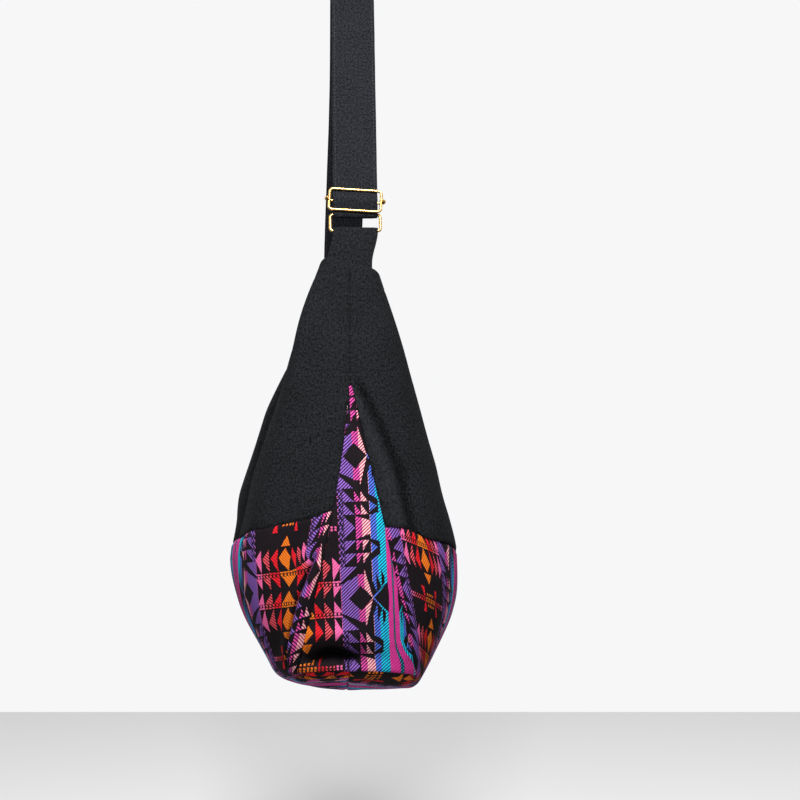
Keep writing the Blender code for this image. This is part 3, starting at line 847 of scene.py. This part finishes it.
# Materials
class Term:
    """A number in a material's nodes, so that a pattern reads as a formula."""

    def __init__(self, tree, socket):
        self.tree, self.socket = tree, socket

    def make(self, operation, *values, clamp=False):
        node = self.tree.nodes.new("ShaderNodeMath")
        node.operation, node.use_clamp = operation, clamp
        for slot, value in zip(node.inputs, values):
            if isinstance(value, Term):
                self.tree.links.new(value.socket, slot)
            else:
                slot.default_value = value
        return Term(self.tree, node.outputs[0])

    def __add__(self, other):
        return self.make("ADD", self, other)

    def __sub__(self, other):
        return self.make("SUBTRACT", self, other)

    def __rsub__(self, other):
        return self.make("SUBTRACT", other, self)

    def __mul__(self, other):
        return self.make("MULTIPLY", self, other)

    def __truediv__(self, other):
        return self.make("DIVIDE", self, other)

    def __lt__(self, other):
        return self.make("LESS_THAN", self, other)

    def __gt__(self, other):
        return self.make("GREATER_THAN", self, other)

    __radd__, __rmul__ = __add__, __mul__

    def size(self):
        return self.make("ABSOLUTE", self)

    def fold(self, span):
        """Runs to and fro between 0 and span."""
        return self.make("PINGPONG", self, span)

    def repeat(self, span):
        return self.make("FLOORED_MODULO", self, span)

    def least(self, other):
        return self.make("MINIMUM", self, other)

    def most(self, other):
        return self.make("MAXIMUM", self, other)

    def sine(self):
        return self.make("SINE", self)

    def whole(self):
        return self.make("FLOOR", self)

    def clamped(self):
        return self.make("MULTIPLY", self, 1.0, clamp=True)

    def inside(self, low, high):
        return (self > low) * (self < high)


def start_material(name, roughness, metallic=0.0):
    """A new material with its tree, its shader and the cloth's coordinates: as a vector, and
    across, up and out of its folds in millimetres."""
    material = bpy.data.materials.new(name)
    material.use_nodes = True
    tree = material.node_tree
    shader = tree.nodes["Principled BSDF"]
    shader.inputs["Roughness"].default_value = roughness
    shader.inputs["Metallic"].default_value = metallic
    place = tree.nodes.new("ShaderNodeAttribute")
    place.attribute_name = "cloth"
    split = tree.nodes.new("ShaderNodeSeparateXYZ")
    tree.links.new(place.outputs["Vector"], split.inputs[0])
    across = Term(tree, split.outputs[0]) * 1000
    up = Term(tree, split.outputs[1]) * 1000
    fold = Term(tree, split.outputs[2]) * 1000
    return material, tree, shader, place.outputs["Vector"], across, up, fold


def noise_term(tree, vector, scale, detail=2.0, stretch=None):
    """Noise from 0 to 1 over a vector in metres."""
    node = tree.nodes.new("ShaderNodeTexNoise")
    node.inputs["Scale"].default_value = scale
    node.inputs["Detail"].default_value = detail
    source = vector
    if stretch:
        scaled = tree.nodes.new("ShaderNodeVectorMath")
        scaled.operation = "MULTIPLY"
        scaled.inputs[1].default_value = stretch
        tree.links.new(vector, scaled.inputs[0])
        source = scaled.outputs[0]
    tree.links.new(source, node.inputs["Vector"])
    return Term(tree, node.outputs["Fac"])


def mixed(tree, share, low, high):
    """A colour between two colours or sockets."""
    node = tree.nodes.new("ShaderNodeMix")
    node.data_type = "RGBA"
    for slot, value in ((node.inputs["Factor"], share), (node.inputs[6], low), (node.inputs[7], high)):
        if isinstance(value, Term):
            tree.links.new(value.socket, slot)
        elif isinstance(value, bpy.types.NodeSocket):
            tree.links.new(value, slot)
        else:
            slot.default_value = (*value, 1.0) if len(value) == 3 else value
    return node.outputs[2]


def colour_steps(tree, share, steps):
    """A colour that changes at each step's place, from 0 to 1."""
    node = tree.nodes.new("ShaderNodeValToRGB")
    node.color_ramp.interpolation = "CONSTANT"
    tree.links.new(share.socket, node.inputs["Fac"])
    marks = node.color_ramp.elements
    for _ in range(len(steps) - len(marks)):
        marks.new(0.5)
    for mark, (start, colour) in zip(marks, steps):
        mark.position = start
        mark.color = (*colour, 1.0)
    return node.outputs["Color"]


def set_bump(tree, shader, height, distance, strength=1.0):
    node = tree.nodes.new("ShaderNodeBump")
    node.inputs["Distance"].default_value = distance
    node.inputs["Strength"].default_value = strength
    tree.links.new(height.socket, node.inputs["Height"])
    tree.links.new(node.outputs[0], shader.inputs["Normal"])


def linear(red, green, blue):
    """A colour given as it looks, 0 to 255, in the renderer's linear values."""
    values = (c / 255 for c in (red, green, blue))
    return tuple(c / 12.92 if c < 0.04045 else ((c + 0.055) / 1.055) ** 2.4 for c in values)


def plain_weave(across, up, pitch):
    """Height of a plain weave from 0 to 1: threads of this pitch in millimetres pass over and
    under each other."""
    warp = (across * (math.pi / pitch)).sine().size()
    weft = (up * (math.pi / pitch)).sine().size()
    odd = ((across / pitch).whole() + (up / pitch).whole()).repeat(2) > 0.5
    return warp * odd * (weft * 0.4 + 0.6) + weft * (1 - odd) * (warp * 0.4 + 0.6)


# How much the materials' colour is painted darker, as shade, for each millimetre of a fold's depth;
# the canvas is also painted lighter, as light, on its ridges
CANVAS_FOLD_SHADE = 0.10
WEAVE_FOLD_SHADE = 0.085


def cotton_material(name, dark, light, pitch, sheen):
    """Black cotton: a plain weave with slubs, faint fading, some dust of its own fibre, painted shade in its
    folds and painted light on its ridges.
    """
    material, tree, shader, vector, across, up, fold = start_material(name, 0.92)
    weave = plain_weave(across, up, pitch)
    slub_across = noise_term(tree, vector, 900, 1.0, (1.0, 0.05, 1.0))
    slub_up = noise_term(tree, vector, 900, 1.0, (0.05, 1.0, 1.0))
    fade = noise_term(tree, vector, 28, 3.0)
    fleck = noise_term(tree, vector, 620, 3.0, (1.0, 0.8, 1.0))
    fibre = noise_term(tree, vector, 1700, 1.0)
    share = (slub_across + slub_up) * 0.12 + (fade - 0.5) * 0.3 + (fleck - 0.5) * 2.0 + (fibre - 0.5) * 1.8
    # Painted shade and light: the colour darkens with the depth of the cloth's creases and lightens with the
    # height of its ridges.
    share = (share + weave * 0.1 + fold * CANVAS_FOLD_SHADE + 0.27).clamped()
    tree.links.new(mixed(tree, share, dark, light), shader.inputs["Base Color"])
    shader.inputs["Sheen Weight"].default_value = sheen
    shader.inputs["Sheen Roughness"].default_value = 0.6
    shader.inputs["Specular IOR Level"].default_value = 0.04
    set_bump(tree, shader, weave * 0.6 + slub_across * 0.5 + slub_up * 0.5 + fleck + fibre * 0.4, 0.0003)
    return material


# The weave's figures, in millimetres. It mirrors about 0 and HALF_ACROSS across, and about 0 and
# HALF_UP up. Each colour is given with the colour of the gaps in its hatching.
HALF_ACROSS = 80.0
HALF_UP = 58.5
ORANGE = linear(248, 138, 36), linear(196, 82, 30)
RED = linear(240, 40, 48), linear(170, 18, 34)
ROSE = linear(244, 92, 104), linear(84, 16, 28)
PINK = linear(246, 118, 176), linear(214, 80, 140)
PURPLE = linear(150, 104, 200), linear(38, 22, 54)
MAGENTA = linear(238, 86, 176), linear(72, 18, 50)
BLUSH = linear(255, 200, 200), linear(160, 40, 84)
BLUE = linear(92, 126, 240), linear(24, 26, 74)
TURQUOISE = linear(36, 214, 242), linear(14, 60, 104)
STRIPE = linear(222, 62, 150), linear(190, 48, 130)
GROUND = linear(17, 14, 17)
GROUND_THREAD = linear(58, 44, 52)
PURPLE_AT, MAGENTA_AT, BLUSH_AT, BLUE_AT = 31.0, 45.3, 50.4, 57.2
COLUMNS_OF_COLOUR = [
    (0.0, ORANGE), (8.4, RED), (16.4, ROSE), (24.4, PINK), (PURPLE_AT, PURPLE), (MAGENTA_AT, MAGENTA),
    (BLUSH_AT, BLUSH), (BLUE_AT, BLUE), (62.3, TURQUOISE), (69.7, STRIPE), (78.6, TURQUOISE),
]
TOOTH = 10.6
SPIKE = 4.2
HATCH = 2.7
TWILL = 2.2
CHECK_ACROSS = 2.8
CHECK_UP = 5.3


def woven_material(name):
    """Jacquard cloth: coloured stripes cut into kites, teeth and diamonds on a black ground, with shade
    painted darker in its folds.
    """
    material, tree, shader, vector, across, up, fold = start_material(name, 0.85)
    wander = noise_term(tree, vector, 300, 2.0)
    c = (across + (wander - 0.5) * 0.9).fold(HALF_ACROSS)
    v = (up + (wander - 0.5) * 0.9).fold(HALF_UP)
    mid = HALF_UP - v
    tooth = mid.repeat(TOOTH) / TOOTH

    def part(low, high):
        """Share of a column from its low to its high edge."""
        return (c - low) / (high - low)

    def both(*figures):
        result = figures[0]
        for figure in figures[1:]:
            result = result * figure
        return result

    # Warm columns: kites, triangles and toothed bars
    kite = ((v - 15.5) / 12.0).least((35.0 - v) / 8.0)
    point = (v < 10.9) * ((v - 1.5) / 9.4)
    warm_width = kite.most(point)
    share = ((c - 8.95).repeat(8.0) / 6.7).most(0.0)
    teeth = across.repeat(3.1) < 1.7
    lit = both(c.inside(8.95, PURPLE_AT), share < warm_width)

    def draw(*figures):
        """Adds what lies in all of these figures."""
        nonlocal lit
        lit = lit.most(both(*figures))

    draw(c / 7.4 < warm_width)
    draw(v > 36.4, c / 6.0 < (45.0 - v) / 8.6)
    bars = both(v.inside(11.2, 13.4), teeth).most(v.inside(13.9, 15.1))
    bars = bars.most(both(v.inside(HALF_UP - 2.0, HALF_UP - 0.3), teeth))
    draw(bars, c < PURPLE_AT)
    draw(mid.inside(3.5, 5.5), teeth, c < 6.0)
    draw(mid.inside(2.6, 10.5), c > 9.0, c < 9.0 + mid * 0.45)

    # Purple teeth beside small checks, and the large diamond
    diamond = (c - 47.2).size() / 9.9 + v / 10.6 > 1.0
    checks = (c.repeat(CHECK_ACROSS) < CHECK_ACROSS / 2) - (mid.repeat(CHECK_UP) < CHECK_UP / 2)
    checks = checks.size() > 0.5
    draw(c.inside(PURPLE_AT, 35.4), v > 25.0, checks)
    draw(c > 35.8, part(35.8, 44.8) < 1 - tooth * 1.1, v > 26.9, c < MAGENTA_AT)
    draw(c > PURPLE_AT, part(PURPLE_AT, 44.8) < (v - 13.8) / 12.6, v < 26.4)
    draw(c.inside(PURPLE_AT, MAGENTA_AT), v < 12 + (c - PURPLE_AT) * 0.48, diamond)

    # Magenta and blush: teeth, and blades that meet the diamond
    magenta, tall = c.inside(MAGENTA_AT, BLUSH_AT), v.inside(26.9, 48.0)
    draw(magenta, tall, part(MAGENTA_AT, BLUSH_AT) < 1.05 - tooth * 1.25)
    draw(c.inside(BLUSH_AT, BLUE_AT), tall, part(BLUSH_AT, 56.5) < 0.9 - tooth * 1.1)
    draw(c.inside(MAGENTA_AT, BLUE_AT), v > 49.0 + (c - MAGENTA_AT) * 0.35)
    draw(magenta, v < 20.0, diamond)
    draw(c.inside(BLUSH_AT, BLUE_AT - v * 0.27), v < 23.4, diamond)

    # Blue and turquoise: spikes, crossing lines, arrows and a thin flank
    w = c - 56.3
    cool = c.inside(BLUE_AT, 69.6)
    spike = 5 + (w / SPIKE).whole() * 3.5 + (1 - w.repeat(SPIKE) / SPIKE) * 12
    draw(cool, v > spike, v < 31 + w * 0.6)
    draw(cool, (w - 0.8 - v * 0.92).size() < 0.95, v < 14.0)
    draw(cool, v > 49.0 - w * 0.3)
    draw(c > BLUE_AT, (c - BLUE_AT) / 6.0 < 1 - (v - 41.5).size() / 4.6)
    draw(c.inside(67.2 - (v > 30.0) * 2.6, 69.6), v > 12.0)
    draw(c.inside(69.8, 78.4), c > 71.5 - v * 0.1)
    draw(c.inside(79.0, 79.5))

    starts = [start / HALF_ACROSS for start, _ in COLUMNS_OF_COLOUR]
    paints, gaps = (
        colour_steps(tree, c / HALF_ACROSS, list(zip(starts, colours)))
        for colours in zip(*(pair for _, pair in COLUMNS_OF_COLOUR))
    )
    hatch = ((up - across * 0.9).repeat(HATCH) / HATCH - 0.5).size() > 0.23
    twill = (up + across * 1.7).repeat(TWILL) < 0.5
    yarn = noise_term(tree, vector, 420, 2.0, (1.0, 0.12, 1.0))
    shade = mixed(tree, hatch * (yarn * 0.5 + 0.7), gaps, paints)
    ground = mixed(tree, twill * yarn, GROUND, GROUND_THREAD)
    # Painted shade: the colours darken towards the black ground with the depth of the cloth's folds.
    fold_unshaded_share = (fold * WEAVE_FOLD_SHADE + 1).clamped()
    colour = mixed(tree, fold_unshaded_share, GROUND, mixed(tree, lit, ground, shade))
    tree.links.new(colour, shader.inputs["Base Color"])
    shader.inputs["Specular IOR Level"].default_value = 0.08
    set_bump(tree, shader, lit * (hatch * 0.6 + 0.4) + twill * 0.3 + yarn * 0.4, 0.0004)
    return material


def brass_material():
    """Bright gold-coloured wire with a fine drawn grain and a few duller places."""
    material, tree, shader, *_ = start_material("gold_wire", 0.2, 1.0)
    spot = tree.nodes.new("ShaderNodeTexCoord")
    cloud = noise_term(tree, spot.outputs["Object"], 160, 3.0)
    grain = noise_term(tree, spot.outputs["Object"], 2600, 2.0)
    colour = mixed(tree, cloud, linear(181, 137, 71), linear(220, 183, 117))
    tree.links.new(colour, shader.inputs["Base Color"])
    rough = cloud * 0.18 + grain * 0.08 + 0.12
    tree.links.new(rough.socket, shader.inputs["Roughness"])
    set_bump(tree, shader, grain, 0.00003)
    return material


canvas = cotton_material("black_canvas", linear(8, 9, 10), linear(45, 47, 50), 0.62, 0.0)
strap_cotton = cotton_material("strap_cotton", linear(12, 13, 15), linear(50, 52, 57), 0.55, 0.0)
woven = woven_material("woven_cloth")
gold = brass_material()
thread = cotton_material("black_thread", linear(30, 30, 31), linear(62, 62, 64), 0.3, 0.15)


# The pieces
for label, side, seed in (("front", 1, 3.1), ("back", -1, 8.7)):
    mesh = grid_mesh(label + "_canvas_panel", *upper_panel(side, seed))
    add_piece(label + "_canvas_panel", mesh, canvas, "canvas", "bag", label + "_upper_panel")
    mesh = grid_mesh(label + "_woven_panel", *lower_panel(side, seed + 20))
    add_piece(label + "_woven_panel", mesh, woven, "woven_cloth", "bag", label + "_lower_panel")
for label, end, seed in (("ring_end", 1, 41.0), ("sewn_end", -1, 47.0)):
    mesh = grid_mesh(label + "_woven_gusset", *gusset(end, seed))
    add_piece(label + "_woven_gusset", mesh, woven, "woven_cloth", "bag", label + "_gusset")

wall = wall_x(CLOTH + HEM_EXTRA)
tuck_x = wall - FIT_GAP - STRAP_THICK - LAYER / 2
tab_path = band_path(
    [
        (tuck_x - LAYER / 2, TUCK_HEIGHT, 0.0, 1),
        (RING_X, TAB_TOP, WIRE_TO_STRAP, -1),
        (tuck_x + LAYER / 2, TUCK_HEIGHT, 0.0, 1),
    ],
    math.radians(10),
)
tab = band_mesh("ring_tab_cloth", tab_path, seed=60.0)
add_piece("ring_tab_cloth", tab, canvas, "canvas", "bag", "ring_tab")

far_x = -(wall - FIT_GAP - STRAP_THICK / 2)
stops = [
    (*near(BAR_OUT - FLAP_LEAN, SLIDER_RISE - FLAP_DROP), 0.0, 1),
    (*near(BAR_OUT, SLIDER_RISE), WIRE_TO_STRAP, 1),
    (*near(0.0, RING_RISE), WIRE_TO_STRAP, 1),
    (*near(SLIDER_OUT, SLIDER_RISE - BAR_RISE), WIRE_TO_STRAP, -1),
    (*near(BAR_OUT, SLIDER_RISE), WIRE_TO_STRAP + LAYER, 1),
    (*near(SLIDER_OUT, SLIDER_RISE + BAR_RISE), WIRE_TO_STRAP, -1),
    (0.0, HANG_HEIGHT - PEG_RADIUS, PEG_RADIUS + STRAP_THICK / 2, 1),
    (far_x + FAR_BEND, TOP_HEIGHT + FAR_BEND_RISE, FAR_BEND, 1),
    (far_x, TUCK_HEIGHT, 0.0, 1),
]
strap_path = filled(band_path(stops, math.radians(8)), 1.5 * MM)
rises = [rise_of(x, z) if x > 0.05 else 1.0 for x, z in strap_path]
leaves_ring = max(k for k, rise in enumerate(rises) if rise < RING_RISE + 0.2 * MM)
leaves_low_bar = max(k for k, rise in enumerate(rises) if rise < SLIDER_RISE - BAR_RISE)
leaves_slider = max(k for k, rise in enumerate(rises) if rise < SLIDER_RISE + BAR_RISE)

pieces = bpy.data.objects
long_path = strap_path[leaves_slider:]
for name, path, tilt, seed, body in (
    ("strap_tail", strap_path[: leaves_ring + 1], 0.0, 61.0, None),
    ("strap_return", strap_path[leaves_ring : leaves_low_bar + 1], 0.0, 62.0, None),
    ("strap_in_slider", strap_path[leaves_low_bar : leaves_slider + 1], SLIDER_TILT, 63.0, "slider"),
    ("strap_long", long_path, 0.0, 64.0, None),
):
    add_piece(name, band_mesh(name, path, tilt=tilt, seed=seed), strap_cotton, "strap_cotton", body)
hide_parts("strap")
seams = stitches_mesh("strap_stitches", band_stitches(long_path))
add_piece("strap_stitches", seams, thread, "strap_cotton", None)

# The strap's runs outside the slider, and its stitches, stay where they are made: their transforms are baked
# into their meshes.
blend_low = near_point(0.0, 0.0, RING_RISE + 1 * MM)
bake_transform(pieces["strap_tail"], "ring", "slider", blend_low, near_point(0.0, 0.0, SLIDER_RISE - 2 * MM))
low_bar = near_point(0.0, 0.0, SLIDER_RISE - BAR_RISE)
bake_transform(pieces["strap_return"], "ring", "slider", near_point(0.0, 0.0, RING_RISE), low_bar)
for name in ("strap_long", "strap_stitches"):
    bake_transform(pieces[name])

ring_loop = loop_points(RING_WIDTH, RING_HEIGHT, RING_CORNER, 0.0, RING_RISE / 2)
slider_loop = loop_points(SLIDER_WIDTH, SLIDER_HEIGHT, SLIDER_CORNER, SLIDER_OUT, SLIDER_RISE, SLIDER_TILT)
for name, points, cyclic, body, node in (
    ("ring_wire", ring_loop, True, "ring", "ring"),
    ("slider_wire", slider_loop, True, "slider", "slider_frame"),
    ("slider_bar_wire", bar_points(SLIDER_TILT), False, "bar", "slider_bar"),
):
    add_piece(name, wire_mesh(name, points, cyclic), gold, "brass_wire", body, node)


# Floor, wall, light and camera
CAMERA_AWAY = 1.4
CAMERA_TURN = math.radians(3.05)
CAMERA_HEIGHT = 226 * MM
NEAR_END = 175 * MM
FOCAL_PIXELS = 1687
FRAME_PIXELS = 800
AXIS_LEFT_PIXELS = 50
SENSOR = 36.0
WALL_AWAY = 3.0
FLOOR_SIZE = 6.0
FLOOR_PIXELS_DOWN = 312
BAG_MIDDLE = Vector((0.0, 0.0, -0.5))

forward = Vector((-math.cos(CAMERA_TURN), math.sin(CAMERA_TURN), 0.0))
right = Vector((math.sin(CAMERA_TURN), math.cos(CAMERA_TURN), 0.0))
eye = Vector((NEAR_END, -BODY_SHIFT, CAMERA_HEIGHT - HANG_HEIGHT)) - CAMERA_AWAY * forward
eye += AXIS_LEFT_PIXELS / FOCAL_PIXELS * CAMERA_AWAY * right
camera_data = bpy.data.cameras.new("camera")
camera_data.sensor_width = SENSOR
camera_data.lens = FOCAL_PIXELS / FRAME_PIXELS * SENSOR
camera = bpy.data.objects.new("camera", camera_data)
camera.location = eye
camera.rotation_euler = forward.to_track_quat("-Z", "Y").to_euler()
bpy.context.scene.collection.objects.link(camera)
bpy.context.scene.camera = camera

floor_z = eye.z - FLOOR_PIXELS_DOWN / FOCAL_PIXELS * WALL_AWAY
floor_middle = eye + forward * (WALL_AWAY - FLOOR_SIZE / 2)
bpy.ops.mesh.primitive_plane_add(size=FLOOR_SIZE, location=(floor_middle.x, floor_middle.y, floor_z))
floor = bpy.context.object
floor.name = "floor"
floor.rotation_euler.z = math.atan2(forward.y, forward.x)
floor_paint = bpy.data.materials.new("floor_paint")
floor_paint.use_nodes = True
floor_tree = floor_paint.node_tree
floor_shader = floor_tree.nodes["Principled BSDF"]
floor_ray = floor_tree.nodes.new("ShaderNodeLightPath")
seen_by_camera = Term(floor_tree, floor_ray.outputs["Is Camera Ray"])
paint = mixed(floor_tree, seen_by_camera, (0.3, 0.3, 0.3), (0.93, 0.93, 0.93))
floor_tree.links.new(paint, floor_shader.inputs["Base Color"])
floor_shader.inputs["Roughness"].default_value = 0.7
floor.data.materials.append(floor_paint)

world = bpy.data.worlds.new("studio")
bpy.context.scene.world = world
world.use_nodes = True
tree = world.node_tree
ray = tree.nodes.new("ShaderNodeLightPath")
direct = Term(tree, ray.outputs["Is Camera Ray"]).most(Term(tree, ray.outputs["Is Glossy Ray"]))
direct = direct.most(Term(tree, ray.outputs["Is Transmission Ray"]))
ambient, seen = tree.nodes["Background"], tree.nodes.new("ShaderNodeBackground")
ambient.inputs["Color"].default_value = (1.0, 1.0, 1.0, 1)
sky = tree.nodes.new("ShaderNodeTexCoord")
sky_parts = tree.nodes.new("ShaderNodeSeparateXYZ")
tree.links.new(sky.outputs["Generated"], sky_parts.inputs[0])
sky_up = Term(tree, sky_parts.outputs[2])
sky_strength = (sky_up * 0.5 + 0.5).most(0.0) * 0.40 + 0.08
tree.links.new(sky_strength.socket, ambient.inputs["Strength"])
seen.inputs["Color"].default_value = (0.93, 0.93, 0.94, 1)
seen.inputs["Strength"].default_value = 1.0
mix = tree.nodes.new("ShaderNodeMixShader")
tree.links.new(direct.socket, mix.inputs[0])
tree.links.new(ambient.outputs[0], mix.inputs[1])
tree.links.new(seen.outputs[0], mix.inputs[2])
tree.links.new(mix.outputs[0], tree.nodes["World Output"].inputs["Surface"])


def area_light(name, place, size, watts):
    """A square light that shines at the bag's middle."""
    data = bpy.data.lights.new(name, "AREA")
    data.size, data.energy = size, watts
    light = bpy.data.objects.new(name, data)
    light.location = place
    light.rotation_euler = (BAG_MIDDLE - Vector(place)).to_track_quat("-Z", "Y").to_euler()
    bpy.context.scene.collection.objects.link(light)


area_light("key", (1.3, -0.05, 0.70), 0.5, 45)
area_light("fill", (1.5, -0.6, -0.1), 1.0, 3)
area_light("rim", (-1.0, 1.2, 0.8), 1.0, 4)

bpy.context.scene.view_settings.view_transform = "Standard"
